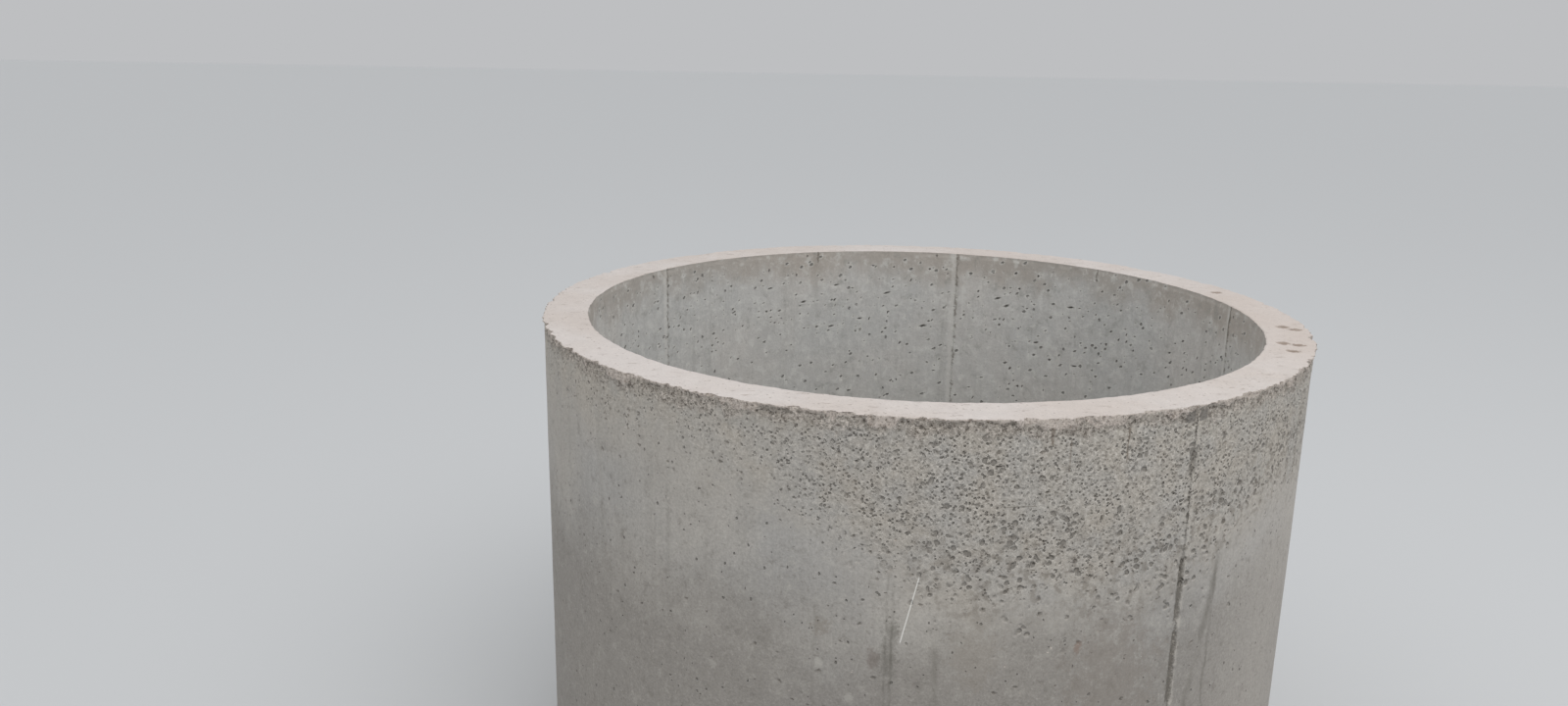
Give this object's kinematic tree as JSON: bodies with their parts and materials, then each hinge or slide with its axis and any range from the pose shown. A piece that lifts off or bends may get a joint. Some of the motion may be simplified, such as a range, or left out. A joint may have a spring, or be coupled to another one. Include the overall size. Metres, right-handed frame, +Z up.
{
  "type": "concrete culvert ring",
  "caption": "Precast concrete culvert ring: a plain round barrel with open ends that stands on its end, for lining a culvert, well or shaft.",
  "frame": {"origin": "centre of the foot face, on the level plane that the ring stands on", "axes": "+Z up along the bore; -Y towards the side that the picture shows"},
  "size_m": [1.362, 1.362, 0.9],
  "materials": {
    "concrete": "raw precast concrete, dry and pale, with a hand-trowelled rim, air holes and form marks"
  },
  "bodies": {
    "root": {"culvert_ring": "concrete"}
  },
  "joints": []
}
